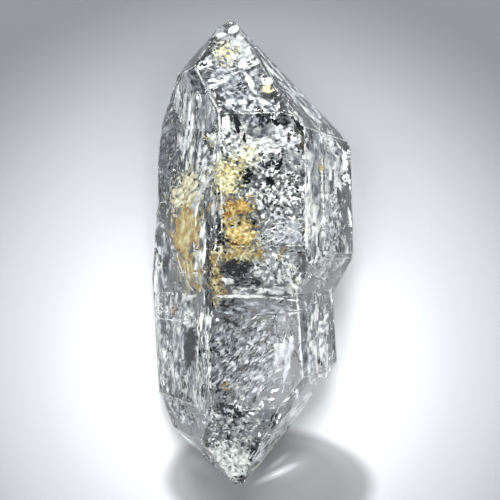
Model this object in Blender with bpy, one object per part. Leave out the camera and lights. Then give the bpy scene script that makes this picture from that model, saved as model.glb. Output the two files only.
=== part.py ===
"""A doubly terminated quartz crystal of Herkimer habit, lying on its back prism face.

Two crystals grew together with their c axes a few degrees apart. Each is the space inside
its own crystal faces: six prism faces, six rhombohedral faces at either end, and on the left
a steep shoulder or two. Low growth steps stand on some of their prism faces. Everything is
joined into the one solid that it is. The tip points to +Y, the broad front prism faces look
up to +Z, and the back prism faces lie on Z = 0. Sizes are in millimetres until they are used.
"""

import math

import bmesh
import bpy
from mathutils import Matrix, Vector

MM = 0.001
START_BLOCK = 200.0

# Quartz: a rhombohedral face's normal rises 38.2 degrees from the plane of the prism's normals.
RHOMB_RISE = 38.2

# The c axis of each crystal leans to -X at its +Y end, in degrees.
UPPER_LEAN = 1.2
LOWER_LEAN = 4.0

# How far each crystal's front prism face stands above the surface that it lies on.
UPPER_THICKNESS = 22.0
LOWER_THICKNESS = 17.05

# Both crystals run on below the surface until one cut gives them a common flat back.
UNDERCUT = 2.0

# The two crystals' centres, before the whole is centred over the origin.
UPPER_CENTRE = (0.5, 8.0, UPPER_THICKNESS / 2)
LOWER_CENTRE = (-0.5, -11.0, LOWER_THICKNESS / 2)

# Distance of each face from its crystal's centre, by azimuth about the c axis. Azimuth 0 is the
# front and +60 is the next face towards +X.
UPPER_FRONT = UPPER_THICKNESS / 2
UPPER_PRISM = {0: UPPER_FRONT, 60: 10.75, 120: 11.85, 180: UPPER_FRONT + UNDERCUT, -120: 14.25, -60: 8.9}
UPPER_TOP = {0: 13.65, 60: 12.35, 120: 12.45, 180: 16.15, -120: 15.95, -60: 16.35}
UPPER_BOTTOM = {0: 13.35, 60: 14.25, 120: 18.4, 180: 15.7, -120: 12.6, -60: 14.35}
LOWER_FRONT = LOWER_THICKNESS / 2
LOWER_PRISM = {0: LOWER_FRONT, 60: 10.1, 120: 10.9, 180: LOWER_FRONT + UNDERCUT, -120: 14.15, -60: 8.5}
LOWER_TOP = {0: 13.45, 60: 13.3, 120: 15.75, 180: 12.8, -60: 18.05}
LOWER_BOTTOM = {0: 12.2, 60: 11.25, 120: 13.2, 180: 14.05, -120: 16.4, -60: 14.75}

# Steep faces that round off the left side, as azimuth, rise and distance.
UPPER_SHOULDERS = [(-100, 33.0, 16.1), (-90, 9.0, 13.85)]
LOWER_SHOULDERS = [(-90, 10.0, 14.25)]

# A growth step repeats its crystal a little smaller, except for the faces named in it.
STEP_INSET = 0.1
RIGHT_STEP = {
    ("prism", 60): (60, 0.6, 11.1),
    ("prism", 0): (0, 0.0, 7.55),
    ("prism", 120): (120, 0.0, 11.5),
}
LEFT_FLARE = {
    ("prism", -60): (-60, 2.4, 9.25),
    ("prism", -120): (-120, 0.0, 11.3),
}
LOWER_LEFT_STEP = {
    ("prism", -60): (-60, 0.6, 8.9),
    ("prism", 0): (0, 0.0, 6.9),
    ("prism", -120): (-120, 0.0, 13.65),
    ("bottom", -60): (-60, -RHOMB_RISE, 12.35),
    ("top", -60): (-60, RHOMB_RISE, 8.35),
}

ROUGHNESS = 0.05
QUARTZ_IOR = 1.544
QUARTZ_GREY = (0.80, 0.81, 0.82, 1.0)


def face_normal(azimuth, rise, lean):
    """A face's normal from its azimuth about the c axis and its rise towards the +Y end."""
    around = math.radians(azimuth)
    up = math.radians(rise)
    upright = Vector((math.sin(around) * math.cos(up), math.sin(up), math.cos(around) * math.cos(up)))
    return Matrix.Rotation(math.radians(lean), 3, "Z") @ upright


def crystal_faces(prism, top, bottom, shoulders):
    """The faces of one crystal by name, each as azimuth, rise and distance from its centre."""
    faces = {}
    for azimuth, distance in prism.items():
        faces["prism", azimuth] = (azimuth, 0.0, distance)
    for azimuth, distance in top.items():
        faces["top", azimuth] = (azimuth, RHOMB_RISE, distance)
    for azimuth, distance in bottom.items():
        faces["bottom", azimuth] = (azimuth, -RHOMB_RISE, distance)
    for number, shoulder in enumerate(shoulders):
        faces["shoulder", number] = shoulder
    return faces


def growth_step(faces, raised):
    """A copy of a crystal's faces drawn in by the inset, with the raised faces in their place."""
    step = {}
    for name, (azimuth, rise, distance) in faces.items():
        step[name] = (azimuth, rise, distance - STEP_INSET)
    step.update(raised)
    return step


def solid_inside(name, faces, centre, lean):
    """A mesh of the space inside all the faces: a block cut down by one plane after another."""
    middle = Vector(centre)
    bm = bmesh.new()
    bmesh.ops.create_cube(bm, size=START_BLOCK)
    for azimuth, rise, distance in faces.values():
        normal = face_normal(azimuth, rise, lean)
        bmesh.ops.bisect_plane(
            bm,
            geom=bm.verts[:] + bm.edges[:] + bm.faces[:],
            plane_co=middle + normal * distance,
            plane_no=normal,
            clear_outer=True,
        )
        rim = [edge for edge in bm.edges if edge.is_boundary]
        bmesh.ops.holes_fill(bm, edges=rim, sides=0)
    bmesh.ops.recalc_face_normals(bm, faces=bm.faces[:])
    bmesh.ops.scale(bm, vec=(MM, MM, MM), verts=bm.verts[:])
    mesh = bpy.data.meshes.new(name)
    bm.to_mesh(mesh)
    bm.free()
    return mesh


def quartz_material():
    """Colourless, slightly smoky quartz."""
    material = bpy.data.materials.new("quartz")
    material.use_nodes = True
    shader = material.node_tree.nodes["Principled BSDF"]
    shader.inputs["Base Color"].default_value = QUARTZ_GREY
    shader.inputs["Metallic"].default_value = 0.0
    shader.inputs["Roughness"].default_value = ROUGHNESS
    shader.inputs["IOR"].default_value = QUARTZ_IOR
    return material


def add_object(name, mesh, parent, helper):
    """An object of the mesh, marked as a helper where it only shapes another one."""
    obj = bpy.data.objects.new(name, mesh)
    bpy.context.scene.collection.objects.link(obj)
    obj.parent = parent
    if helper:
        obj.hide_render = True
        obj.display_type = "WIRE"
    return obj


def add_boolean(obj, operation, other):
    boolean = obj.modifiers.new(other.name, "BOOLEAN")
    boolean.operation = operation
    boolean.solver = "EXACT"
    boolean.object = other


def surface_cutter():
    """A slab that takes away whatever is below the surface."""
    bm = bmesh.new()
    bmesh.ops.create_cube(bm, size=START_BLOCK * MM)
    bmesh.ops.translate(bm, vec=(0.0, 0.0, -START_BLOCK * MM / 2), verts=bm.verts[:])
    mesh = bpy.data.meshes.new("below_surface")
    bm.to_mesh(mesh)
    bm.free()
    return mesh


def centre_on_origin(frame, obj):
    """Moves the parent so that the finished solid's box is centred over the origin in X and Y."""
    bpy.context.view_layer.update()
    graph = bpy.context.evaluated_depsgraph_get()
    corners = [Vector(corner) for corner in obj.evaluated_get(graph).bound_box]
    low_x = min(corner.x for corner in corners)
    high_x = max(corner.x for corner in corners)
    low_y = min(corner.y for corner in corners)
    high_y = max(corner.y for corner in corners)
    frame.location = (-(low_x + high_x) / 2, -(low_y + high_y) / 2, 0.0)


def main():
    for old in list(bpy.data.objects):
        bpy.data.objects.remove(old, do_unlink=True)

    frame = bpy.data.objects.new("frame", None)
    bpy.context.scene.collection.objects.link(frame)

    upper = crystal_faces(UPPER_PRISM, UPPER_TOP, UPPER_BOTTOM, UPPER_SHOULDERS)
    lower = crystal_faces(LOWER_PRISM, LOWER_TOP, LOWER_BOTTOM, LOWER_SHOULDERS)
    joined_on = {
        "right_step": (growth_step(upper, RIGHT_STEP), UPPER_CENTRE, UPPER_LEAN),
        "left_flare": (growth_step(upper, LEFT_FLARE), UPPER_CENTRE, UPPER_LEAN),
        "lower_crystal": (lower, LOWER_CENTRE, LOWER_LEAN),
        "lower_left_step": (growth_step(lower, LOWER_LEFT_STEP), LOWER_CENTRE, LOWER_LEAN),
    }

    crystal_mesh = solid_inside("herkimer_diamond", upper, UPPER_CENTRE, UPPER_LEAN)
    crystal_mesh.materials.append(quartz_material())
    crystal = add_object("herkimer_diamond", crystal_mesh, frame, helper=False)
    for name, (faces, centre, lean) in joined_on.items():
        helper = add_object(name, solid_inside(name, faces, centre, lean), frame, helper=True)
        add_boolean(crystal, "UNION", helper)
    add_boolean(crystal, "DIFFERENCE", add_object("below_surface", surface_cutter(), frame, helper=True))
    centre_on_origin(frame, crystal)


main()
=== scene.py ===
"""Looks of a Herkimer diamond: a clear quartz crystal full of cracks, veils, hydrocarbon and clay.

The crystal's skin is made from the frame's own solid, with worn edges and open cracks. What is
sealed in the quartz is placed by where the photograph shows it: a line of sight from the camera is
bent at the skin, as light is, and the inclusion lies on that line, some depth below the face.
"""

import math

import bmesh
import bpy
import numpy as np
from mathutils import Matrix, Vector, noise
from mathutils.bvhtree import BVHTree


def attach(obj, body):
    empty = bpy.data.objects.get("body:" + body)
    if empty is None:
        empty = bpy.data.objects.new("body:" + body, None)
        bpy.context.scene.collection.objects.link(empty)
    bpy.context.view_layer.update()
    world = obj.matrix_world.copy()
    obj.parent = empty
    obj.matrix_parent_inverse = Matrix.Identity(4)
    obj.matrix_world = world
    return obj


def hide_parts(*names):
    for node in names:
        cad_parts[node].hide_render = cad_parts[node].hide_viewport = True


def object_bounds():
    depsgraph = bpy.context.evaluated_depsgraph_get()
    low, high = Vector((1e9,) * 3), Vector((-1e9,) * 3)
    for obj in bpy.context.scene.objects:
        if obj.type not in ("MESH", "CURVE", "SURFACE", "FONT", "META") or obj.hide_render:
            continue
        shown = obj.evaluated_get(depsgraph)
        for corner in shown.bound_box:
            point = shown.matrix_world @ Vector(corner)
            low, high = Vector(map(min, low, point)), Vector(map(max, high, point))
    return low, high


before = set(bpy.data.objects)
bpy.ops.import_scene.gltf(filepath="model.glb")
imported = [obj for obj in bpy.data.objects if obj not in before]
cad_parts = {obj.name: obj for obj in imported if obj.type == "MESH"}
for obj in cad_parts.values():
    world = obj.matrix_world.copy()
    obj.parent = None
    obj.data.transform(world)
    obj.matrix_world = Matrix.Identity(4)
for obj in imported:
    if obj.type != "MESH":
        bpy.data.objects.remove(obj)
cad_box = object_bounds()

MM = 0.001
BODY = "root"
NODE = "herkimer_diamond"
QUARTZ_IOR = 1.544

# The camera looks straight down on the lying crystal. The photograph is 500 pixels square.
FRAME_PX = 500
CAMERA_AT = Vector((0.16, 0.89, 103.2)) * MM
LENS_MM = 50.0
SENSOR_MM = 36.0
FOCAL_PX = FRAME_PX * LENS_MM / SENSOR_MM

# No inclusion comes nearer to the skin than this.
COVER_OF_QUARTZ = 0.06 * MM
SHEET_THICKNESS = 0.04 * MM
SHEET_STEP_MM = 0.2
EDGE_BEVEL = 0.1 * MM


def add_camera():
    data = bpy.data.cameras.new("camera")
    data.lens = LENS_MM
    data.sensor_width = SENSOR_MM
    data.clip_start = 1 * MM
    data.clip_end = 5.0
    camera = bpy.data.objects.new("camera", data)
    camera.location = CAMERA_AT
    bpy.context.scene.collection.objects.link(camera)
    bpy.context.scene.camera = camera


def add_soft_box(name, place, aim, size, radiance):
    """A soft box at a place in mm, turned to the aim point, with its two sides in mm."""
    data = bpy.data.lights.new(name, "AREA")
    data.shape = "RECTANGLE"
    data.size = size[0] * MM
    data.size_y = size[1] * MM
    data.energy = radiance * math.pi * data.size * data.size_y
    data.color = (0.985, 0.99, 1.0)
    light = bpy.data.objects.new(name, data)
    light.location = Vector(place) * MM
    towards = Vector(aim) * MM - light.location
    light.rotation_euler = towards.to_track_quat("-Z", "Y").to_euler()
    bpy.context.scene.collection.objects.link(light)


def set_world(strength):
    """A pale tent all round the crystal, open and dark straight overhead."""
    world = bpy.data.worlds.new("studio")
    world.use_nodes = True
    nodes = world.node_tree.nodes
    links = world.node_tree.links
    tent = (
        (0.0, (0.45, 0.47, 0.5)),
        (0.25, (0.91, 0.95, 0.98)),
        (0.75, (0.94, 0.96, 0.98)),
        (0.9, (0.3, 0.32, 0.35)),
        (1.0, (0.16, 0.17, 0.19)),
    )
    place = nodes.new("ShaderNodeTexCoord")
    part = nodes.new("ShaderNodeSeparateXYZ")
    ramp = colour_ramp(nodes, tent)
    background = nodes["Background"]
    links.new(place.outputs["Generated"], part.inputs["Vector"])
    links.new(part.outputs["Z"], ramp.inputs["Fac"])
    links.new(ramp.outputs["Color"], background.inputs["Color"])
    background.inputs["Strength"].default_value = strength
    bpy.context.scene.world = world


def new_material(name):
    material = bpy.data.materials.new(name)
    material.use_nodes = True
    nodes = material.node_tree.nodes
    return material, nodes, material.node_tree.links, nodes["Principled BSDF"]


def colour_ramp(nodes, stops, interpolation="LINEAR"):
    ramp = nodes.new("ShaderNodeValToRGB")
    ramp.color_ramp.interpolation = interpolation
    elements = ramp.color_ramp.elements
    elements.remove(elements[1])
    elements[0].position = stops[0][0]
    elements[0].color = (*stops[0][1], 1.0)
    for at, colour in stops[1:]:
        elements.new(at).color = (*colour, 1.0)
    return ramp


def noise_texture(nodes, links, scale, detail, stretch=(1.0, 1.0, 1.0)):
    """A noise in the object's own space, squeezed along each axis by the stretch."""
    place = nodes.new("ShaderNodeTexCoord")
    mapping = nodes.new("ShaderNodeMapping")
    mapping.inputs["Scale"].default_value = stretch
    texture = nodes.new("ShaderNodeTexNoise")
    texture.inputs["Scale"].default_value = scale
    texture.inputs["Detail"].default_value = detail
    links.new(place.outputs["Object"], mapping.inputs["Vector"])
    links.new(mapping.outputs["Vector"], texture.inputs["Vector"])
    return texture


def oval_ramp(nodes, links, middle, half, stops, turn=0.0, interpolation="EASE"):
    """Colours by how far out a point of the floor lies in a turned oval, which is given in mm."""
    place = nodes.new("ShaderNodeTexCoord")
    shift = nodes.new("ShaderNodeMapping")
    shift.vector_type = "TEXTURE"
    shift.inputs["Location"].default_value = (middle[0] * MM, middle[1] * MM, 0.0)
    shift.inputs["Rotation"].default_value = (0.0, 0.0, math.radians(turn))
    shift.inputs["Scale"].default_value = (half[0] * MM, half[1] * MM, 1.0)
    away = nodes.new("ShaderNodeVectorMath")
    away.operation = "LENGTH"
    ramp = colour_ramp(nodes, stops, interpolation)
    links.new(place.outputs["Object"], shift.inputs["Vector"])
    links.new(shift.outputs["Vector"], away.inputs[0])
    links.new(away.outputs["Value"], ramp.inputs["Fac"])
    return ramp


# A painted shadow of the crystal and painted caustic light in it, each as middle, half sizes, turn and
# how much the floor is dimmed or lit from the middle outwards.
PAINTED_SHADOW_AND_CAUSTICS = {
    "shadow": ((3.0, -33.5), (17.0, 8.8), -3.0, ((0.0, 0.45), (0.6, 0.43), (0.8, 0.5), (1.0, 1.0))),
    "long streak": ((4.2, -32.3), (4.6, 0.75), 25.0, ((0.0, 2.3), (0.4, 1.6), (1.0, 1.0))),
    "short streak": ((4.3, -30.6), (3.2, 0.6), 38.0, ((0.0, 1.5), (1.0, 1.0))),
    "fan": ((6.0, -31.5), (5.5, 2.4), 25.0, ((0.0, 1.3), (1.0, 1.0))),
    "left fan": ((-7.0, -30.8), (4.0, 2.0), -30.0, ((0.0, 1.35), (1.0, 1.0))),
}


def floor_material():
    """A pale floor whose colour is a painted pool of light that greys away from the crystal, with a painted shadow
    about its lower tip and painted caustic light in that shadow.
    """
    material, nodes, links, shader = new_material("pale_floor")
    # Painted pool of light: the floor's colour is palest near the crystal and greys away from it.
    painted_glow = (
        (0.0, (0.44, 0.442, 0.445)),
        (0.25, (0.37, 0.372, 0.376)),
        (0.45, (0.255, 0.258, 0.263)),
        (0.6, (0.216, 0.219, 0.224)),
        (0.75, (0.164, 0.167, 0.172)),
        (0.88, (0.12, 0.122, 0.126)),
        (1.0, (0.088, 0.09, 0.094)),
    )
    floor_colour = oval_ramp(nodes, links, (0.0, -16.0), (60.0, 58.0), painted_glow, interpolation="B_SPLINE")
    floor_colour = floor_colour.outputs["Color"]
    # The painted shadow and painted caustic light are multiplied into the floor's colour.
    for middle, half, turn, stops in PAINTED_SHADOW_AND_CAUSTICS.values():
        painted_patch = oval_ramp(nodes, links, middle, half, [(at, (tone,) * 3) for at, tone in stops], turn)
        shaded = nodes.new("ShaderNodeMix")
        shaded.data_type = "RGBA"
        shaded.blend_type = "MULTIPLY"
        shaded.inputs["Factor"].default_value = 1.0
        links.new(floor_colour, shaded.inputs["A"])
        links.new(painted_patch.outputs["Color"], shaded.inputs["B"])
        floor_colour = shaded.outputs["Result"]
    links.new(floor_colour, shader.inputs["Base Color"])
    shader.inputs["Roughness"].default_value = 0.9
    shader.inputs["Specular IOR Level"].default_value = 0.0
    return material


def add_floor():
    bm = bmesh.new()
    bmesh.ops.create_grid(bm, x_segments=8, y_segments=8, size=0.6)
    mesh = bpy.data.meshes.new("floor")
    bm.to_mesh(mesh)
    bm.free()
    floor = bpy.data.objects.new("floor", mesh)
    floor.location = (0.0, 0.0, -0.02 * MM)
    mesh.materials.append(floor_material())
    bpy.context.scene.collection.objects.link(floor)


def add_piece(name, mesh):
    piece = bpy.data.objects.new(name, mesh)
    bpy.context.scene.collection.objects.link(piece)
    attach(piece, BODY)
    return piece


def crystal_bmesh():
    """The frame's solid with the triangles of each flat face joined again."""
    bm = bmesh.new()
    bm.from_mesh(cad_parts[NODE].data)
    bmesh.ops.remove_doubles(bm, verts=bm.verts[:], dist=2e-6)
    bmesh.ops.dissolve_limit(
        bm,
        angle_limit=math.radians(0.2),
        use_dissolve_boundaries=False,
        verts=bm.verts[:],
        edges=bm.edges[:],
    )
    return bm


class Skin:
    """The flat faces of the crystal, for finding where a line of sight goes in and what is inside."""

    def __init__(self, bm):
        self.tree = BVHTree.FromBMesh(bm)

    def sight(self, px, py):
        """Where the line of sight through a pixel enters, its bent direction, and its run inside."""
        across = (px - FRAME_PX / 2) / FOCAL_PX
        down = (py - FRAME_PX / 2) / FOCAL_PX
        ray = Vector((across, -down, -1.0)).normalized()
        entry, normal, _, _ = self.tree.ray_cast(CAMERA_AT, ray)
        if entry is None:
            return None
        cos_in = -ray.dot(normal)
        ratio = 1.0 / QUARTZ_IOR
        cos_out = math.sqrt(1.0 - ratio * ratio * (1.0 - cos_in * cos_in))
        bent = (ray * ratio + normal * (ratio * cos_in - cos_out)).normalized()
        leaving, _, _, run = self.tree.ray_cast(entry + bent * 0.02 * MM, bent)
        return entry, bent, run if leaving is not None else 0.0

    def holds(self, point, cover=COVER_OF_QUARTZ):
        """Whether a point lies inside the quartz, under at least that much cover."""
        near, normal, _, gap = self.tree.find_nearest(point)
        return gap > cover and (point - near).dot(normal) < 0.0


class Inclusions:
    """Closed splinters and torn sheets gathered into one mesh, each point with a shade 0 to 1."""

    def __init__(self, skin, seed):
        self.skin = skin
        self.random = np.random.default_rng(seed)
        self.points = []
        self.faces = []
        self.shades = []

    def splinter(self, middle, along, face, length, width, thick, shade, bend=0.0, corners=6):
        """A jagged plate with its long side along one direction and its flat side facing another."""
        side = face.cross(along).normalized()
        along = side.cross(face).normalized()
        turns = (np.arange(corners) + self.random.uniform(-0.35, 0.35, corners)) * (math.tau / corners)
        reach = self.random.uniform(0.45, 1.0, corners)
        for shrink in (1.0, 0.6, 0.35):
            ring = []
            for turn, out in zip(turns, reach):
                u = math.cos(turn) * out * length / 2 * shrink
                v = math.sin(turn) * out * width / 2 * shrink
                lift = bend * (u * u + v * v) / max(length, 1e-6)
                ring.append(middle + along * u + side * v + face * lift)
            if all(self.skin.holds(corner) for corner in ring):
                break
        else:
            return False
        first = len(self.points)
        self.points.extend(ring + [middle + face * thick / 2, middle - face * thick / 2])
        for corner in range(corners):
            after = (corner + 1) % corners
            self.faces.append((first + corner, first + after, first + corners))
            self.faces.append((first + after, first + corner, first + corners + 1))
        self.shades.extend([shade] * (corners + 2))
        return True

    def scatter(
        self, at, half, turn=0.0, cover=0.3, length=(0.3, 1.2), slim=0.45, lie=0.0, spread=14.0,
        depth=(0.3, 2.5), tilt=40.0, shade=(0.0, 1.0), patchy=0.4, grain_px=6.0,
    ):
        """Splinters in a turned oval of the photo, thinned by a cloudy pattern.

        The oval's middle and half sizes are in pixels, and cover is splinters per square pixel.
        Lengths and depths are in mm. Lie is the way the splinters run, in degrees from +X.
        """
        random = self.random
        turned = math.radians(turn)
        offset = Vector((at[0], at[1], 3.0 * cover)) * 0.37
        wanted = max(1, round(cover * math.pi * half[0] * half[1]))
        placed = 0
        for _ in range(wanted * 5):
            if placed >= wanted:
                break
            out = math.sqrt(random.uniform())
            angle = random.uniform(0.0, math.tau)
            u = out * math.cos(angle) * half[0]
            v = out * math.sin(angle) * half[1]
            x = at[0] + u * math.cos(turned) + v * math.sin(turned)
            y = at[1] - u * math.sin(turned) + v * math.cos(turned)
            cloud = noise.noise(Vector((x, y, 0.0)) / grain_px + offset)
            if cloud * 2.0 + random.uniform(-0.4, 0.4) < patchy - 1.0 + out * 0.6:
                continue
            seen = self.skin.sight(x, y)
            if seen is None:
                continue
            entry, bent, run = seen
            middle = entry + bent * min(random.uniform(*depth) * MM, run * 0.9)
            way = math.radians(lie + random.normal(0.0, spread))
            along = Vector((math.cos(way), math.sin(way), random.uniform(-0.3, 0.3))).normalized()
            long = (length[0] + (length[1] - length[0]) * random.uniform() ** 2.2) * MM
            wide = long * slim * random.uniform(0.6, 1.4)
            thick = max(wide * 0.12, 0.03 * MM)
            tint = random.uniform(*shade)
            if self.splinter(middle, along, tilted(random, tilt), long, wide, thick, tint,
                             random.uniform(-1.0, 1.0)):
                placed += 1

    def sheet(self, at, half, turn=0.0, bow=0.0, depth=0.8, slope=0.0, step=0.9, **weave):
        """A sheet behind a turned oval of the photo, bowed sideways by so many pixels at its ends.

        It lies some mm under the face, and slope is how much deeper it gets towards its far end.
        """
        turned = math.radians(turn)

        def where(u, v, rise):
            aside = v + bow * (u / half[0]) ** 2
            x = at[0] + u * math.cos(turned) + aside * math.sin(turned)
            y = at[1] - u * math.sin(turned) + aside * math.cos(turned)
            seen = self.skin.sight(x, y)
            if seen is None:
                return None
            entry, bent, run = seen
            down = max(depth + slope * u / half[0] + rise, 0.12) * MM
            place = entry + bent * min(down, run * 0.9)
            return place, place + bent * SHEET_THICKNESS

        self.weave(where, half, step, Vector((at[1], at[0], turn)) * 0.53, 0.7 * MM, **weave)

    def line(self, start, end, half_width):
        """A thin white sheet under a line from one pixel to another."""
        across = end[0] - start[0]
        down = end[1] - start[1]
        middle = (start[0] + across / 2, start[1] + down / 2)
        half = (math.hypot(across, down) / 2, half_width)
        turn = math.degrees(math.atan2(-down, across))
        self.sheet(middle, half, turn, depth=0.16, step=0.7, relief=0.08, crumple=2.0, torn=0.1, tear=4.0,
                   shade=(0.7, 1.0), stretch=4.0, rim=0.95)

    def plane(self, middle, face, along, half, **weave):
        """A sheet anywhere in the quartz, in mm about its middle."""
        side = face.cross(along).normalized()
        length = side.cross(face).normalized()

        def where(u, v, rise):
            place = middle + (length * u + side * v + face * rise) * MM
            return place, place - face * SHEET_THICKNESS

        self.weave(where, half, SHEET_STEP_MM, middle * 900.0, 1.2 * MM, **weave)

    def weave(
        self, where, half, step, offset, longest,
        relief=0.5, crumple=6.0, torn=0.0, tear=6.0, shade=(0.3, 0.8), stretch=1.0, rim=0.7,
    ):
        """A crumpled sheet with torn edges and holes, both from noises, in its own oval.

        Torn is from -1, whole, to 1, nearly gone. Crumple and tear are the sizes of the creases
        and holes, and stretch draws both out along the first of the sheet's two directions. From
        the rim, as a part of the oval, to its outline the sheet thins out.
        """
        columns = max(3, round(2 * half[0] / step))
        rows = max(3, round(2 * half[1] / step))
        grid = {}
        for column in range(columns + 1):
            for row in range(rows + 1):
                u = (column / columns * 2.0 - 1.0) * half[0]
                v = (row / rows * 2.0 - 1.0) * half[1]
                out = math.hypot(u / half[0], v / half[1])
                spot = Vector((u / stretch, v, 0.0))
                keep = noise.fractal(spot / tear + offset, 0.7, 2.0, 3)
                if keep < torn * 0.6 - 0.25 + max(0.0, out - rim) / (1.0 - rim) * 0.9:
                    continue
                crease = noise.fractal(spot / crumple + offset * 2.0, 0.7, 2.1, 4)
                blotch = noise.fractal(spot / crumple + offset * 3.0, 0.6, 2.3, 4)
                found = where(u, v, relief * crease)
                if found and self.skin.holds(found[0]) and self.skin.holds(found[1]):
                    mixed = min(1.0, max(0.0, 0.5 - 0.6 * crease + 0.9 * blotch))
                    grid[column, row] = (*found, shade[0] + (shade[1] - shade[0]) * mixed)
        self.close_sheet(grid, longest)

    def close_sheet(self, grid, longest):
        """Front, back and rim faces for the cells of a grid whose four corners are all there."""
        cells = set()
        for column, row in grid:
            corners = [(column, row), (column + 1, row), (column + 1, row + 1), (column, row + 1)]
            if not all(corner in grid for corner in corners):
                continue
            places = [grid[corner][0] for corner in corners]
            if all((places[i] - places[i - 1]).length < longest for i in range(4)):
                cells.add((column, row))
        number = {}

        def point(corner, layer):
            key = (corner, layer)
            if key not in number:
                number[key] = len(self.points)
                self.points.append(grid[corner][layer])
                self.shades.append(grid[corner][2])
            return number[key]

        for column, row in sorted(cells):
            ring = [(column, row), (column, row + 1), (column + 1, row + 1), (column + 1, row)]
            beside = [(column - 1, row), (column, row + 1), (column + 1, row), (column, row - 1)]
            self.faces.append(tuple(point(corner, 0) for corner in ring))
            self.faces.append(tuple(point(corner, 1) for corner in reversed(ring)))
            for side in range(4):
                if beside[side] not in cells:
                    first, after = ring[side], ring[(side + 1) % 4]
                    self.faces.append((point(after, 0), point(first, 0), point(first, 1), point(after, 1)))

    def fill(self, count, length, slim, shade, low=0.0, high=1.0, cover=0.6 * MM, lumps=9.0, thin=0.0):
        """Splinters all through the quartz, in clouds, between two parts of its length."""
        random = self.random
        corner, opposite = cad_box
        placed = 0
        for _ in range(count * 12):
            if placed >= count:
                break
            share = random.uniform(0.0, 1.0, 3)
            share[1] = low + (high - low) * share[1]
            middle = Vector([a + (b - a) * part for a, b, part in zip(corner, opposite, share)])
            cloud = noise.noise(middle / (lumps * MM) + Vector((5.1, 2.3, 8.8)))
            if cloud + random.uniform(-0.25, 0.25) < thin or not self.skin.holds(middle, cover):
                continue
            along = Vector(random.normal(0.0, 1.0, 3)).normalized()
            face = Vector(random.normal(0.0, 1.0, 3)).normalized()
            long = (length[0] + (length[1] - length[0]) * random.uniform() ** 2.5) * MM
            wide = long * slim * random.uniform(0.6, 1.4)
            if self.splinter(middle, along, face, long, wide, max(wide * 0.12, 0.03 * MM),
                             random.uniform(*shade), random.uniform(-1.0, 1.0)):
                placed += 1

    def fill_planes(self, count, half, **weave):
        """Sheets all through the quartz, most of them standing along the crystal."""
        random = self.random
        corner, opposite = cad_box
        placed = 0
        for _ in range(count * 20):
            if placed >= count:
                break
            share = random.uniform(0.08, 0.92, 3)
            middle = Vector([a + (b - a) * part for a, b, part in zip(corner, opposite, share)])
            if not self.skin.holds(middle, 1.5 * MM):
                continue
            face = Vector(random.normal(0.0, 1.0, 3) * (1.0, 0.6, 1.0)).normalized()
            along = Vector(random.normal(0.0, 1.0, 3) * (0.5, 1.5, 0.5)).normalized()
            size = random.uniform(0.5, 1.0)
            self.plane(middle, face, along, (half[0] * size, half[1] * size), **weave)
            placed += 1

    def edge_wear(self, solid, spacing=0.2 * MM):
        """Crushed white quartz just under the worn edges, thicker in some stretches than others."""
        random = self.random
        for edge in solid.edges:
            if edge.calc_face_angle(0.0) < math.radians(9.0):
                continue
            start, end = (vert.co for vert in edge.verts)
            run = end - start
            inward = -(edge.link_faces[0].normal + edge.link_faces[1].normal).normalized()
            for number in range(int(run.length / spacing)):
                spot = start + run * (number + random.uniform()) * spacing / run.length
                if noise.noise(spot * 700.0) + random.uniform(-0.3, 0.3) < -0.12:
                    continue
                middle = spot + inward * random.uniform(0.12, 0.22) * MM
                along = (run.normalized() + Vector(random.normal(0.0, 0.12, 3))).normalized()
                face = (Vector(random.normal(0.0, 0.5, 3)) - inward).normalized()
                long = random.uniform(0.25, 0.9) * MM
                self.splinter(middle, along, face, long, random.uniform(0.06, 0.2) * MM, 0.03 * MM,
                              random.uniform(0.7, 1.0))

    def mesh(self, name, material):
        mesh = bpy.data.meshes.new(name)
        mesh.from_pydata([tuple(point) for point in self.points], [], self.faces)
        shade = mesh.attributes.new("shade", "FLOAT", "POINT")
        shade.data.foreach_set("value", self.shades)
        mesh.polygons.foreach_set("use_smooth", [len(face) == 4 for face in self.faces])
        mesh.materials.append(material)
        return mesh


def tilted(random, tilt):
    """A face direction near the camera's, tipped by up to the tilt in degrees."""
    tip = math.radians(tilt) * math.sqrt(random.uniform())
    turn = random.uniform(0.0, math.tau)
    return Vector((math.sin(tip) * math.cos(turn), math.sin(tip) * math.sin(turn), math.cos(tip)))


def shaded_material(name, stops, roughness, specular=0.5, metallic=0.0, grain=0.0, bump=0.0):
    """A surface coloured by each point's own shade, clouded and roughened by fine noises."""
    material, nodes, links, shader = new_material(name)
    shade = nodes.new("ShaderNodeAttribute")
    shade.attribute_name = "shade"
    cloud = noise_texture(nodes, links, 1500.0, 5.0)
    centred = nodes.new("ShaderNodeMath")
    centred.operation = "SUBTRACT"
    centred.inputs[1].default_value = 0.5
    sway = nodes.new("ShaderNodeMath")
    sway.operation = "MULTIPLY_ADD"
    sway.inputs[1].default_value = grain
    ramp = colour_ramp(nodes, stops)
    links.new(cloud.outputs["Fac"], centred.inputs[0])
    links.new(centred.outputs["Value"], sway.inputs[0])
    links.new(shade.outputs["Fac"], sway.inputs[2])
    links.new(sway.outputs["Value"], ramp.inputs["Fac"])
    links.new(ramp.outputs["Color"], shader.inputs["Base Color"])
    if bump:
        lump = nodes.new("ShaderNodeBump")
        lump.inputs["Strength"].default_value = bump
        lump.inputs["Distance"].default_value = 0.05 * MM
        links.new(cloud.outputs["Fac"], lump.inputs["Height"])
        links.new(lump.outputs["Normal"], shader.inputs["Normal"])
    shader.inputs["Roughness"].default_value = roughness
    shader.inputs["Specular IOR Level"].default_value = specular
    shader.inputs["Metallic"].default_value = metallic
    return material


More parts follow.
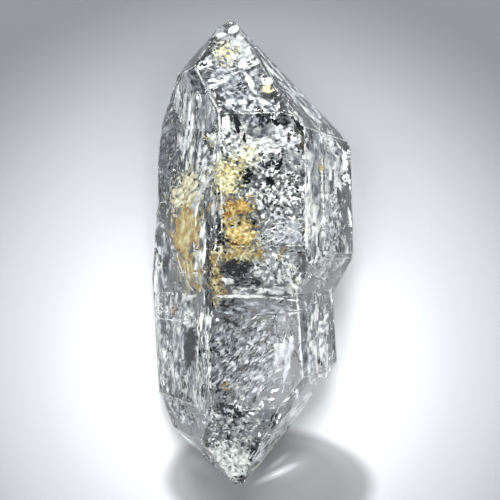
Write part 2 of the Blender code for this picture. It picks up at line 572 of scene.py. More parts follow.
VEIL_STOPS = (
    (0.0, (0.02, 0.023, 0.028)),
    (0.25, (0.145, 0.156, 0.172)),
    (0.5, (0.4, 0.42, 0.435)),
    (0.7, (0.67, 0.685, 0.665)),
    (0.85, (0.87, 0.88, 0.84)),
    (1.0, (0.97, 0.97, 0.94)),
)
SILVER_STOPS = ((0.0, (0.75, 0.77, 0.8)), (1.0, (0.97, 0.98, 0.98)))
BLACK_STOPS = ((0.0, (0.002, 0.002, 0.003)), (0.6, (0.016, 0.018, 0.022)), (1.0, (0.13, 0.14, 0.165)))
CLAY_STOPS = (
    (0.0, (0.12, 0.045, 0.012)),
    (0.25, (0.34, 0.22, 0.07)),
    (0.5, (0.48, 0.38, 0.165)),
    (0.75, (0.6, 0.56, 0.33)),
    (1.0, (0.8, 0.8, 0.66)),
)

# Veils at least this deep, in mm, are a piece of their own.
DEEP = 0.8

# White to blue-grey: crushed quartz and frosted veils.
VEIL_SHEETS = {
    "tip chip": dict(at=(230, 21), half=(5, 3), depth=0.3, torn=-0.3, shade=(0.6, 0.9)),
    "flake left of the tip": dict(at=(221, 35), half=(7, 3), turn=15, depth=0.3, torn=-0.6, shade=(0.8, 1.0)),
    "flake right of the tip": dict(at=(234, 30), half=(7, 4), turn=30, depth=0.3, torn=-0.5, shade=(0.7, 1.0)),
    "cloud of the top face": dict(
        at=(238, 66), half=(34, 40), depth=1.2, relief=0.3, crumple=4, torn=-0.6, tear=9, shade=(0.15, 0.55)
    ),
    "behind the front": dict(
        at=(262, 196), half=(48, 96), depth=3.2, relief=0.6, crumple=9, torn=-0.9, tear=12, shade=(0.35, 0.8), step=1.6
    ),
    "left of the front, pale": dict(
        at=(209, 168), half=(40, 14), turn=82, depth=0.9, crumple=3, stretch=2.5, torn=-0.2, tear=3.5,
        shade=(0.35, 1.0)
    ),
    "upper left of the front": dict(
        at=(233, 140), half=(16, 27), depth=0.9, crumple=3, torn=-0.2, tear=4, shade=(0.4, 1.0)
    ),
    "left face, deep": dict(
        at=(184, 150), half=(72, 26), turn=84, depth=2.2, relief=0.4, crumple=3, stretch=6, torn=-0.5, tear=4,
        shade=(0.05, 0.8), step=1.1
    ),
    "lower left face, deep": dict(
        at=(178, 345), half=(66, 24), turn=90, depth=1.8, relief=0.4, crumple=3, stretch=6, torn=-0.5, tear=4,
        shade=(0.1, 0.85), step=1.1
    ),
    "right face, deep": dict(
        at=(325, 200), half=(78, 18), turn=88, depth=1.5, relief=0.3, crumple=3, stretch=6, torn=-0.5, tear=5,
        shade=(0.4, 1.0), step=1.1
    ),
    "lower right face, deep": dict(
        at=(317, 345), half=(48, 15), turn=88, depth=1.2, relief=0.3, crumple=3, stretch=5, torn=-0.4, tear=5,
        shade=(0.3, 0.95), step=1.1
    ),
    "lower front, deep": dict(
        at=(244, 358), half=(48, 48), turn=48, depth=1.4, relief=0.15, crumple=2.2, stretch=3, torn=-0.2, tear=3,
        shade=(0.22, 0.62)
    ),
    "upper left streaks": dict(
        at=(204, 65), half=(11, 5), turn=20, depth=0.4, crumple=3, stretch=3, torn=-0.3, tear=3, shade=(0.5, 1.0)
    ),
    "upper right streaks": dict(
        at=(249, 62), half=(15, 8), turn=15, depth=0.6, crumple=3, stretch=5, torn=0.0, tear=3, shade=(0.5, 0.9)
    ),
    "smooth top face": dict(
        at=(242, 47), half=(16, 15), turn=-50, depth=0.8, relief=0.2, crumple=7, torn=-0.4, tear=8, shade=(0.4, 0.65)
    ),
    "snowy ribbons": dict(
        at=(217, 82), half=(17, 8), turn=12, depth=0.5, relief=0.3, crumple=2.2, stretch=5, torn=0.0, tear=2,
        shade=(0.35, 0.85)
    ),
    "light bar": dict(at=(251, 84), half=(14, 4), turn=-62, depth=0.5, relief=0.15, torn=-0.7, shade=(0.65, 0.8)),
    "white chip": dict(at=(267, 81), half=(8, 5), turn=-10, depth=0.3, relief=0.15, torn=-0.5, shade=(0.8, 0.95)),
    "edge of the top face": dict(
        at=(270, 70), half=(15, 2), turn=-52, depth=0.2, relief=0.1, torn=-0.5, tear=3, shade=(0.8, 1.0)
    ),
    "foot of the top face": dict(
        at=(247, 104), half=(34, 9), depth=0.7, crumple=5, torn=-0.4, tear=5, shade=(0.35, 0.8)
    ),
    "upper right strip": dict(
        at=(290, 86), half=(72, 8), turn=-50, depth=0.5, relief=0.3, crumple=2.5, stretch=9, torn=-0.5, tear=2.5,
        shade=(0.0, 0.8)
    ),
    "dark line beside the top face": dict(
        at=(258, 58), half=(42, 3), turn=-58, depth=0.3, relief=0.1, crumple=2.5, stretch=6, torn=-0.5, tear=3,
        shade=(0.0, 0.35)
    ),
    "dark facet": dict(
        at=(197, 80), half=(16, 8), turn=-62, depth=0.5, relief=0.2, crumple=3, torn=-0.4, shade=(0.0, 0.4)
    ),
    "left fibres": dict(
        at=(187, 122), half=(42, 9), turn=84, depth=0.4, relief=0.3, crumple=2.2, stretch=9, torn=0.0, tear=2.5,
        shade=(0.5, 1.0)
    ),
    "left fibres, deeper": dict(
        at=(184, 150), half=(42, 12), turn=86, depth=1.4, crumple=2.5, stretch=6, torn=-0.1, tear=3,
        shade=(0.0, 0.9)
    ),
    "hatching, high": dict(
        at=(167, 126), half=(22, 15), turn=50, depth=0.5, relief=0.3, crumple=2, stretch=7, torn=-0.3, tear=2.5,
        shade=(0.0, 0.5)
    ),
    "hatching, low": dict(
        at=(167, 156), half=(22, 15), turn=52, depth=0.5, relief=0.3, crumple=2, stretch=7, torn=-0.3, tear=2.5,
        shade=(0.0, 0.45)
    ),
    "smooth grey facet": dict(
        at=(207, 112), half=(24, 11), turn=88, depth=0.7, relief=0.2, crumple=3, stretch=5, torn=-0.3, tear=8,
        shade=(0.25, 0.6)
    ),
    "left dark blue": dict(
        at=(171, 187), half=(28, 12), turn=86, depth=0.8, crumple=3, stretch=1.5, torn=-0.3, tear=4,
        shade=(0.0, 0.4)
    ),
    "ribbon": dict(
        at=(197.5, 200), half=(32, 4), turn=70, bow=8, depth=0.4, relief=0.12, crumple=4, stretch=6, torn=-0.9,
        shade=(0.55, 0.75)
    ),
    "ribbon's white edge": dict(
        at=(196, 214), half=(15, 1.2), turn=82, bow=2, depth=0.3, relief=0.1, torn=-0.6, shade=(0.9, 1.0)
    ),
    "white curve": dict(
        at=(183.7, 275.5), half=(27, 1.5), turn=-65, bow=-5, depth=0.3, relief=0.1, torn=-0.7, shade=(0.85, 1.0)
    ),
    "white lenses": dict(
        at=(201, 250), half=(34, 7), turn=84, depth=0.5, crumple=2.5, stretch=5, torn=-0.1, tear=3, shade=(0.3, 1.0)
    ),
    "grey of the lower left": dict(
        at=(166, 262), half=(36, 9), turn=88, depth=0.7, crumple=3, stretch=5, torn=-0.2, tear=4, shade=(0.1, 0.8)
    ),
    "front strip": dict(
        at=(226, 125), half=(12, 6), turn=88, depth=0.4, crumple=3, stretch=2, torn=-0.4, shade=(0.65, 1.0)
    ),
    "front band": dict(
        at=(258, 121), half=(9, 17), turn=88, depth=0.9, crumple=3, stretch=2.5, torn=-0.2, tear=4, shade=(0.0, 0.55)
    ),
    "front light patch": dict(
        at=(287, 138), half=(18, 13), depth=0.6, relief=0.3, crumple=3.5, torn=-0.1, tear=4, shade=(0.45, 0.9)
    ),
    "front burst": dict(
        at=(258, 149), half=(20, 14), turn=20, depth=0.6, relief=0.6, crumple=2.5, torn=0.1, tear=2.5,
        shade=(0.6, 1.0)
    ),
    "front lace": dict(
        at=(285, 188), half=(23, 34), turn=60, depth=0.6, relief=0.4, crumple=2.5, stretch=2, torn=0.15, tear=2.5,
        shade=(0.55, 1.0)
    ),
    "lower lace": dict(
        at=(272, 205), half=(30, 20), turn=-40, depth=1.2, relief=0.4, crumple=2.5, stretch=2.5, torn=0.1, tear=2.5,
        shade=(0.4, 0.95)
    ),
    "behind the lace": dict(
        at=(264, 188), half=(42, 44), depth=2.2, relief=0.8, crumple=5, torn=-0.2, tear=5, shade=(0.25, 0.85)
    ),
    "smooth front": dict(
        at=(284, 231), half=(24, 16), depth=1.4, relief=0.2, crumple=12, torn=-0.6, tear=12, shade=(0.35, 0.55), step=1.4
    ),
    "lower mottle": dict(
        at=(274, 268), half=(30, 21), depth=0.7, crumple=4, torn=-0.2, tear=4, shade=(0.45, 1.0)
    ),
    "bluish veil over the notch": dict(
        at=(250, 291), half=(20, 6), depth=0.5, crumple=3, stretch=2, torn=-0.3, tear=4, shade=(0.5, 0.95)
    ),
    "pale veil over the notch": dict(
        at=(279, 291), half=(17, 6), depth=0.5, relief=0.2, torn=-0.5, shade=(0.5, 0.8)
    ),
    "creamy corner": dict(
        at=(290, 281), half=(18, 6), turn=-55, depth=0.4, crumple=2.5, stretch=2, torn=-0.1, tear=3, shade=(0.6, 1.0)
    ),
    "white below the black": dict(
        at=(228, 281), half=(8, 4), turn=-15, depth=0.3, crumple=3, torn=-0.4, shade=(0.8, 1.0)
    ),
    "notch line": dict(
        at=(240, 296.5), half=(27, 2.2), depth=0.2, relief=0.1, crumple=3, torn=-0.6, tear=3, shade=(0.8, 1.0)
    ),
    "notch line right": dict(
        at=(283, 299), half=(21, 1.4), turn=-7, depth=0.2, relief=0.1, torn=-0.4, tear=4, shade=(0.7, 1.0)
    ),
    "right edge": dict(
        at=(309, 200), half=(60, 3), turn=89, depth=0.3, relief=0.2, crumple=2.5, stretch=4, torn=-0.3, tear=3,
        shade=(0.5, 1.0)
    ),
    "right wedge": dict(at=(298, 118), half=(11, 4), turn=-52, depth=0.4, torn=-0.4, tear=3, shade=(0.7, 1.0)),
    "right blue-grey": dict(
        at=(317, 165), half=(40, 9), turn=88, depth=0.8, relief=0.2, crumple=3, stretch=5, torn=-0.2, tear=5,
        shade=(0.25, 0.65)
    ),
    "right triangles": dict(
        at=(334, 150), half=(15, 9), turn=-52, depth=0.5, crumple=3, stretch=2, torn=-0.1, tear=3, shade=(0.3, 1.0)
    ),
    "right silhouette": dict(
        at=(345, 168), half=(22, 4), turn=90, depth=0.3, relief=0.2, torn=-0.5, tear=3, shade=(0.85, 1.0)
    ),
    "right speckle": dict(
        at=(331, 222), half=(42, 12), turn=88, depth=0.7, crumple=3, stretch=1.6, torn=0.0, tear=3, shade=(0.2, 1.0)
    ),
    "right foot": dict(
        at=(322, 277), half=(17, 9), turn=60, depth=0.6, crumple=3, torn=-0.1, tear=3, shade=(0.2, 0.9)
    ),
    "left rim": dict(
        at=(156.5, 325), half=(78, 3.5), turn=90, depth=0.4, crumple=2.5, stretch=8, torn=-0.4, tear=3,
        shade=(0.4, 0.95)
    ),
    "pale ribbons": dict(
        at=(188, 298), half=(11, 3.5), turn=25, bow=2, depth=0.4, crumple=3, stretch=3, torn=-0.4, shade=(0.5, 0.9)
    ),
    "bumpy patch": dict(
        at=(189, 318), half=(8, 12), depth=0.4, relief=0.8, crumple=2.5, torn=-0.4, tear=4, shade=(0.55, 1.0)
    ),
    "streaks beside it": dict(
        at=(206, 322), half=(18, 8), turn=86, depth=0.5, crumple=2.2, stretch=5, torn=-0.1, tear=3, shade=(0.3, 1.0)
    ),
    "lower left mottle": dict(
        at=(166, 350), half=(58, 10), turn=88, depth=0.6, crumple=3, stretch=4, torn=0.0, tear=3, shade=(0.05, 0.95)
    ),
    "lower left veil": dict(
        at=(196, 375), half=(38, 10), turn=90, depth=1.4, relief=0.3, crumple=3, stretch=7, torn=-0.1, tear=5,
        shade=(0.2, 0.75)
    ),
    "lower left foot": dict(
        at=(181, 408), half=(24, 13), turn=-60, depth=0.6, crumple=3, stretch=2, torn=0.0, tear=3, shade=(0.05, 0.9)
    ),
    "dark head of the lower face": dict(
        at=(257, 309), half=(42, 9), depth=0.6, relief=0.25, crumple=5, stretch=3, torn=-0.4, tear=8, shade=(0.1, 0.45)
    ),
    # Painted sheen: a pale veil that lightens the right of the lower front face, where the real reflection of the
    # above_ boxes also lies.
    "veil of painted sheen": dict(
        at=(283, 350), half=(46, 14), turn=90, depth=1.2, relief=0.15, crumple=6, stretch=3, torn=-0.4, tear=9,
        shade=(0.4, 0.58), step=1.3, rim=0.3
    ),
    "lower right strip": dict(
        at=(304, 339), half=(42, 4), turn=90, depth=0.4, relief=0.2, crumple=2.5, stretch=5, torn=-0.4, tear=4,
        shade=(0.0, 0.55)
    ),
    "lower right patches": dict(
        at=(323, 335), half=(32, 7), turn=86, depth=0.5, crumple=4, stretch=1.5, torn=0.0, tear=5, shade=(0.4, 1.0)
    ),
    "lower edge strip": dict(
        at=(279, 437), half=(60, 10), turn=49, depth=0.5, crumple=2.5, stretch=8, torn=-0.2, tear=3, shade=(0.1, 1.0)
    ),
    "lower rhomb cloud": dict(
        at=(232, 430), half=(30, 28), depth=1.0, relief=0.8, crumple=4, torn=0.0, tear=5, shade=(0.25, 0.95)
    ),
    "crackled lower tip": dict(
        at=(225, 461), half=(30, 22), depth=0.4, relief=0.6, crumple=3, torn=-0.6, tear=4, shade=(0.55, 1.0)
    ),
    "lower right edge": dict(
        at=(285, 429), half=(54, 8), turn=52, depth=0.3, relief=0.2, crumple=3, stretch=5, torn=-0.5, tear=4,
        shade=(0.55, 1.0)
    ),
}

# White lines just under some edges, lighter than the quartz around them, each from one pixel to another with its half
# width in pixels.
EDGE_LINES = {
    "left of the top face": ((195, 65), (219, 114), 0.9),
    "left of the upper front": ((219, 114), (219.5, 160), 0.8),
    "right of the top face, high": ((233, 20), (262, 60), 0.9),
    "right of the top face, middle": ((262, 60), (281, 93), 0.9),
    "right of the top face, low": ((281, 93), (304, 125), 0.9),
    "right of the upper front": ((305, 128), (307, 256), 1.1),
    "right of the lower front": ((298, 300), (303, 378), 1.2),
    "left of the lower front": ((208, 302), (208.5, 396), 0.8),
    "lower left step": ((198, 300), (198, 392), 0.8),
    "right of the lower tip": ((300, 384), (236, 478), 1.0),
    "left of the lower tip": ((200, 398), (230, 480), 0.8),
    "lower right silhouette": ((341, 300), (330, 372), 1.0),
}
VEIL_SPECKS = {
    "top face": dict(
        at=(236, 70), half=(34, 32), cover=0.1, length=(0.3, 1.6), slim=0.2, lie=20, spread=40, shade=(0.4, 0.9)
    ),
    "left face streaks": dict(
        at=(184, 125), half=(13, 42), cover=0.15, length=(0.6, 3.5), slim=0.1, lie=97, spread=8, shade=(0.5, 1.0)
    ),
    "left face hatching": dict(
        at=(169, 140), half=(8, 34), cover=0.25, length=(0.4, 2.0), slim=0.1, lie=50, shade=(0.5, 1.0)
    ),
    "left face flecks": dict(
        at=(172, 180), half=(12, 30), cover=0.25, length=(0.2, 1.0), lie=70, spread=30, shade=(0.6, 1.0)
    ),
    "front needles": dict(
        at=(262, 155), half=(20, 16), cover=0.12, length=(0.5, 3.0), slim=0.1, spread=90, shade=(0.8, 1.0)
    ),
    "front upper shards": dict(
        at=(257, 150), half=(17, 15), cover=0.15, length=(0.3, 1.7), spread=60, shade=(0.7, 1.0)
    ),
    "front scatter": dict(
        at=(272, 190), half=(42, 58), cover=0.06, length=(0.2, 1.2), spread=70, depth=(0.3, 5.0), shade=(0.4, 1.0)
    ),
    "front fine lines": dict(
        at=(284, 230), half=(23, 17), cover=0.12, length=(0.6, 2.6), slim=0.05, lie=25, spread=35, shade=(0.7, 1.0)
    ),
    "creamy corner": dict(at=(292, 280), half=(9, 16), cover=0.3, length=(0.2, 0.9), shade=(0.7, 1.0), lie=110),
    "notch line": dict(
        at=(240, 296.5), half=(25, 1.8), cover=1.0, length=(0.3, 1.0), slim=0.3, depth=(0.1, 0.5), shade=(0.7, 1.0),
        patchy=0.0
    ),
    "right edge line": dict(
        at=(308.5, 200), half=(60, 2.2), turn=88, cover=0.4, length=(0.3, 1.2), slim=0.25, lie=88, depth=(0.1, 0.8),
        shade=(0.6, 1.0)
    ),
    "right speckle": dict(
        at=(331, 205), half=(14, 45), cover=0.15, length=(0.15, 0.9), lie=80, spread=40, shade=(0.6, 1.0)
    ),
    "left rim": dict(
        at=(156.5, 325), half=(3.5, 75), cover=0.3, length=(0.3, 1.6), slim=0.3, lie=90, shade=(0.5, 1.0),
        depth=(0.1, 1.0)
    ),
    "lower left flecks": dict(
        at=(170, 340), half=(14, 60), cover=0.15, length=(0.2, 1.4), slim=0.3, lie=90, shade=(0.5, 1.0)
    ),
    "lower left lines": dict(
        at=(203, 360), half=(8, 45), cover=0.15, length=(0.8, 3.5), slim=0.06, lie=90, spread=5, shade=(0.6, 1.0)
    ),
    "lower front scratches": dict(
        at=(245, 360), half=(33, 50), cover=0.05, length=(0.3, 2.0), slim=0.08, lie=48, shade=(0.4, 1.0)
    ),
    "lower front top lines": dict(
        at=(285, 312), half=(14, 3), cover=0.4, length=(0.6, 2.5), slim=0.05, lie=0, spread=4, shade=(0.5, 1.0)
    ),
    "lower right edge": dict(
        at=(300.5, 338), half=(40, 1), turn=-86, cover=0.7, length=(0.2, 0.9), slim=0.25, lie=-86,
        depth=(0.1, 0.4), shade=(0.8, 1.0)
    ),
    "lower rhomb scatter": dict(
        at=(232, 425), half=(28, 30), cover=0.1, length=(0.2, 1.2), spread=60, shade=(0.5, 1.0)
    ),
    "lower tip": dict(
        at=(228, 465), half=(22, 17), cover=0.3, length=(0.2, 1.5), lie=140, spread=40, shade=(0.7, 1.0)
    ),
    "upper right strip": dict(
        at=(290, 86), half=(66, 9), turn=-50, cover=0.15, length=(0.4, 3.0), slim=0.1, lie=-50, shade=(0.6, 1.0)
    ),
}

# Silver: fractures that throw the light back.
SILVER_SPECKS = {
    "upper crystal": dict(
        at=(250, 170), half=(85, 95), cover=0.015, length=(0.3, 2.2), spread=90, depth=(0.5, 9.0), tilt=70
    ),
    "upper right strip": dict(
        at=(290, 86), half=(66, 9), turn=-50, cover=0.1, length=(0.4, 2.4), slim=0.2, lie=-50, tilt=60
    ),
    "lower crystal": dict(
        at=(235, 360), half=(70, 70), cover=0.01, length=(0.3, 2.0), lie=50, spread=40, depth=(0.5, 9.0), tilt=70
    ),
    "lower tip": dict(
        at=(235, 445), half=(35, 35), cover=0.06, length=(0.3, 1.6), spread=90, depth=(0.3, 4.0), tilt=70
    ),
}

# Black: hydrocarbon.
HYDROCARBON_SHEETS = {
    "patch above the notch": dict(
        at=(236, 268), half=(15, 10), turn=12, depth=0.3, relief=0.2, crumple=4, torn=-0.5, tear=4, shade=(0.0, 0.3)
    ),
    "upright patch": dict(
        at=(190, 346), half=(22, 6.5), turn=88, depth=0.3, relief=0.2, crumple=4, torn=-0.7, tear=5, shade=(0.0, 0.2)
    ),
    "lower band": dict(
        at=(230, 411), half=(18, 8), turn=-18, depth=0.4, relief=0.3, torn=-0.3, tear=4, shade=(0.0, 0.4)
    ),
    "front streak": dict(
        at=(240, 129), half=(20, 4), turn=-67, depth=0.3, relief=0.2, torn=-0.5, tear=4, stretch=2, shade=(0.0, 0.4)
    ),
    "front wedge": dict(
        at=(298, 122), half=(13, 4), turn=-58, depth=0.3, relief=0.2, torn=-0.5, tear=4, shade=(0.0, 0.4)
    ),
    "left blob": dict(at=(276.7, 122.5), half=(4, 4), depth=0.3, torn=-0.8, shade=(0.0, 0.1)),
    "right blob": dict(at=(284.5, 122), half=(4.5, 4.5), depth=0.3, torn=-0.6, shade=(0.0, 0.6)),
    "semicircle": dict(at=(270.5, 181.5), half=(6, 4), turn=-35, depth=0.3, torn=-0.7, shade=(0.0, 0.5)),
    "long lens": dict(at=(208, 229), half=(9, 2), turn=-82, depth=0.3, torn=-0.7, shade=(0.0, 0.2)),
    "lower lens": dict(at=(208, 259), half=(6, 2), turn=-78, depth=0.3, torn=-0.7, shade=(0.0, 0.2)),
    "foot lens": dict(at=(206, 278), half=(10, 2.2), turn=-60, depth=0.3, torn=-0.5, shade=(0.0, 0.4)),
    "smudge": dict(at=(218, 192), half=(5, 4), depth=0.6, torn=-0.3, tear=3, shade=(0.3, 0.9)),
    "blue smudge": dict(at=(221, 226), half=(10, 4.5), turn=80, depth=0.6, torn=-0.2, tear=3, shade=(0.4, 1.0)),
    "left dark patch": dict(at=(165, 264), half=(12, 4), turn=88, depth=0.5, torn=-0.2, tear=4, shade=(0.1, 0.7)),
    "lower rhomb blob": dict(at=(274, 421), half=(10, 5), turn=70, depth=0.5, torn=-0.3, tear=4, shade=(0.0, 0.5)),
}
HYDROCARBON_SPECKS = {
    "top face flecks": dict(at=(214, 45), half=(5, 8), cover=0.4, length=(0.3, 1.0), shade=(0.2, 0.8)),
    "top face cluster": dict(at=(243, 87), half=(7, 5), cover=0.5, length=(0.3, 1.1), shade=(0.0, 0.5)),
    "upper right spot": dict(at=(269, 67), half=(4, 3), cover=0.5, lie=-50, shade=(0.0, 0.3)),
    "upper right strip": dict(
        at=(290, 86), half=(66, 8), turn=-50, cover=0.12, length=(0.3, 2.6), slim=0.12, lie=-50, shade=(0.0, 0.6)
    ),
    "left face blue": dict(at=(171, 175), half=(11, 27), cover=0.2, length=(0.3, 1.4), lie=85, shade=(0.2, 0.9)),
    "left face flecks": dict(
        at=(165, 196), half=(6, 14), cover=0.5, length=(0.3, 1.3), slim=0.3, lie=90, shade=(0.0, 0.5)
    ),
    "front band": dict(at=(265, 120), half=(12, 6), cover=0.2, length=(0.3, 1.2), lie=80, shade=(0.1, 0.7)),
    "front polygons": dict(
        at=(271, 160), half=(12, 11), cover=0.12, length=(0.5, 1.4), slim=0.8, shade=(0.3, 0.9)
    ),
    "front middle": dict(at=(246, 176), half=(5, 7), cover=0.5, shade=(0.0, 0.5)),
    "front dots": dict(
        at=(283, 185), half=(22, 50), cover=0.04, length=(0.15, 0.6), slim=0.7, depth=(0.2, 0.8), shade=(0.0, 0.4)
    ),
    "smooth front dots": dict(
        at=(272, 238), half=(14, 10), cover=0.08, length=(0.15, 0.5), slim=0.7, depth=(0.2, 0.8), shade=(0.0, 0.3)
    ),
    "front crack": dict(
        at=(238, 224), half=(8, 1.5), turn=10, cover=1.2, length=(0.3, 1.0), slim=0.2, lie=10, depth=(0.2, 0.5),
        shade=(0.0, 0.2)
    ),
    "front crack's right end": dict(
        at=(253.5, 224), half=(5, 1.2), turn=70, cover=1.2, length=(0.3, 0.9), slim=0.25, lie=70,
        depth=(0.2, 0.5), shade=(0.0, 0.2)
    ),
    "gold specks": dict(at=(222, 240), half=(6, 6), cover=0.4, length=(0.2, 0.7), shade=(0.0, 0.3)),
    "upright streaks": dict(
        at=(209, 252), half=(7, 38), cover=0.15, length=(0.4, 2.4), slim=0.12, lie=88, spread=8, shade=(0.0, 0.6)
    ),
    "curl": dict(at=(224, 252), half=(5, 4), cover=0.5, length=(0.2, 0.9), shade=(0.0, 0.3)),
    "patch above the notch": dict(
        at=(236, 270), half=(17, 12), cover=0.2, length=(0.2, 1.0), depth=(0.2, 1.0), shade=(0.0, 0.4)
    ),
    "over the notch": dict(
        at=(247, 283), half=(14, 5), cover=0.3, length=(0.2, 1.0), lie=10, depth=(0.2, 1.0), shade=(0.0, 0.5)
    ),
    "mottle dots": dict(
        at=(272, 265), half=(20, 16), cover=0.05, length=(0.15, 0.5), slim=0.7, depth=(0.2, 0.6), shade=(0.0, 0.4)
    ),
    "right dashes": dict(
        at=(338, 238), half=(7, 20), cover=0.25, length=(0.3, 1.2), slim=0.3, lie=88, depth=(0.2, 1.0),
        shade=(0.0, 0.5)
    ),
    "right dots": dict(
        at=(338, 196), half=(7, 16), cover=0.15, length=(0.15, 0.6), slim=0.7, depth=(0.2, 1.0), shade=(0.0, 0.4)
    ),
    "lower right dashes": dict(
        at=(324, 278), half=(8, 14), cover=0.2, length=(0.3, 1.1), slim=0.3, lie=60, shade=(0.0, 0.6)
    ),
    "darkest head": dict(
        at=(236, 306), half=(18, 7), cover=0.3, length=(0.2, 1.3), slim=0.3, lie=20, shade=(0.1, 0.8),
        depth=(0.2, 1.0)
    ),
    "dark curve": dict(
        at=(232, 322), half=(10, 2), turn=-28, cover=0.8, length=(0.3, 1.2), slim=0.25, lie=-28, shade=(0.1, 0.6)
    ),
    "lower front dashes": dict(
        at=(240, 358), half=(34, 48), cover=0.2, length=(0.15, 1.0), slim=0.22, lie=50, depth=(0.2, 1.2),
        shade=(0.0, 0.5), spread=22
    ),
    "lower front clusters": dict(
        at=(236, 350), half=(26, 10), cover=0.1, length=(0.2, 0.9), lie=50, shade=(0.0, 0.4)
    ),
    "lower left cluster": dict(at=(214, 348), half=(5, 8), cover=0.4, length=(0.2, 0.9), shade=(0.0, 0.5)),
    "lower front marks": dict(at=(223, 389), half=(7, 8), cover=0.3, length=(0.2, 1.0), lie=50, shade=(0.0, 0.4)),
    "upright patch": dict(
        at=(191, 346), half=(8, 22), cover=0.15, length=(0.3, 1.2), slim=0.3, lie=90, shade=(0.0, 0.4)
    ),
    "beside the upright patch": dict(
        at=(203, 346), half=(3, 8), cover=0.6, length=(0.3, 1.2), slim=0.3, lie=90, shade=(0.0, 0.4)
    ),
    "lower left mottle": dict(
        at=(165, 345), half=(8, 60), cover=0.15, length=(0.3, 1.4), slim=0.3, lie=90, shade=(0.1, 0.8)
    ),
    "lower left cluster low": dict(
        at=(181, 395), half=(12, 16), cover=0.3, length=(0.2, 1.3), lie=90, spread=30, shade=(0.0, 0.6)
    ),
    "lower right line": dict(
        at=(334, 342), half=(1.2, 18), cover=1.5, length=(0.3, 1.3), slim=0.25, lie=90, shade=(0.0, 0.4),
        depth=(0.1, 0.5)
    ),
    "lower right dash": dict(at=(321, 362), half=(6, 2.5), turn=45, cover=0.8, lie=45, shade=(0.0, 0.4)),
    "lower rhomb": dict(
        at=(231, 420), half=(22, 20), cover=0.15, length=(0.2, 1.1), lie=20, spread=50, shade=(0.0, 0.6)
    ),
    "lower rhomb dotted": dict(at=(261, 425), half=(8, 5), cover=0.3, length=(0.15, 0.6), shade=(0.0, 0.5)),
    "lower arc": dict(
        at=(221, 447), half=(19, 2.2), turn=-27, cover=0.8, length=(0.3, 1.2), slim=0.2, lie=-27, shade=(0.1, 0.7)
    ),
    "lower strip": dict(
        at=(279, 437), half=(56, 8), turn=49, cover=0.1, length=(0.3, 2.2), slim=0.15, lie=49, shade=(0.0, 0.7)
    ),
    "tip bits": dict(at=(239, 477), half=(7, 4), cover=0.4, length=(0.2, 0.8), shade=(0.0, 0.5)),
}

# Yellow to brown: iron-stained clay.
CLAY_SHEETS = {
    "tan patch": dict(
        at=(187, 230), half=(34, 17), turn=86, depth=0.4, relief=0.4, crumple=4, torn=-0.8, tear=3, stretch=2.5,
        shade=(0.25, 0.8), rim=0.4
    ),
    "brown edge of the tan patch": dict(
        at=(177, 240), half=(24, 3), turn=86, bow=2, depth=0.4, torn=-0.3, tear=3, stretch=3, shade=(0.05, 0.4)
    ),
    "golden streaks": dict(
        at=(191, 270), half=(29, 13), turn=100, depth=0.6, crumple=2.5, stretch=5, torn=-0.2, tear=3, shade=(0.2, 0.9)
    ),
    "pale shreds": dict(
        at=(186, 191), half=(33, 22), turn=60, depth=0.6, relief=0.5, crumple=2.5, stretch=3, torn=-0.5, tear=2.5,
        shade=(0.75, 1.0), rim=0.3
    ),
    "gold of the front": dict(
        at=(241, 233), half=(20, 20), depth=0.3, relief=0.4, crumple=4, torn=-0.8, tear=3, shade=(0.25, 0.85),
        rim=0.4
    ),
    "orange of the front": dict(
        at=(240, 206), half=(21, 12), turn=8, depth=0.3, relief=0.4, crumple=4, torn=-0.8, tear=3,
        shade=(0.1, 0.65), rim=0.3
    ),
    "orange, lower": dict(
        at=(230, 216), half=(15, 9), turn=80, depth=0.3, torn=-0.7, tear=3, shade=(0.15, 0.7), rim=0.3
    ),
    "gold band above the notch": dict(
        at=(238, 254), half=(32, 10), turn=3, depth=0.3, relief=0.4, crumple=4, torn=-0.8, tear=3,
        shade=(0.25, 0.95), rim=0.3
    ),
    "golden column": dict(
        at=(216, 274), half=(32, 8), turn=90, depth=0.3, relief=0.4, crumple=4, torn=-0.8, tear=3,
        shade=(0.1, 0.85), rim=0.3
    ),
    "golden foot": dict(at=(222, 291), half=(11, 5), turn=-25, depth=0.4, torn=-0.3, tear=4, shade=(0.3, 0.8)),
    "yellow-green veil": dict(
        at=(227, 178), half=(21, 27), depth=0.4, crumple=3, torn=-0.7, tear=2.5, shade=(0.6, 1.0), rim=0.3
    ),
    "pale yellow burst": dict(
        at=(249, 155), half=(20, 14), turn=60, depth=0.4, crumple=3, torn=-0.6, tear=2.5, shade=(0.75, 1.0), rim=0.3
    ),
    "olive of the top face": dict(
        at=(228, 52), half=(20, 20), depth=1.0, relief=0.4, crumple=3, torn=-0.5, tear=3, shade=(0.65, 1.0), rim=0.3
    ),
    "yellow block": dict(
        at=(268, 89), half=(7, 5), turn=-5, depth=0.5, relief=0.1, torn=-0.7, shade=(0.62, 0.85)
    ),
    "ochre arc": dict(at=(209, 208), half=(8, 2), turn=75, bow=3, depth=0.4, torn=-0.4, shade=(0.3, 0.6)),
    "cream of the right edge": dict(
        at=(309, 205), half=(56, 2), turn=89, depth=0.6, relief=0.2, stretch=4, torn=-0.1, tear=4, shade=(0.85, 1.0)
    ),
    "lower outer stripe": dict(
        at=(281, 441), half=(52, 4), turn=49, depth=0.3, relief=0.1, stretch=5, torn=-0.5, tear=4, shade=(0.85, 1.0)
    ),
}
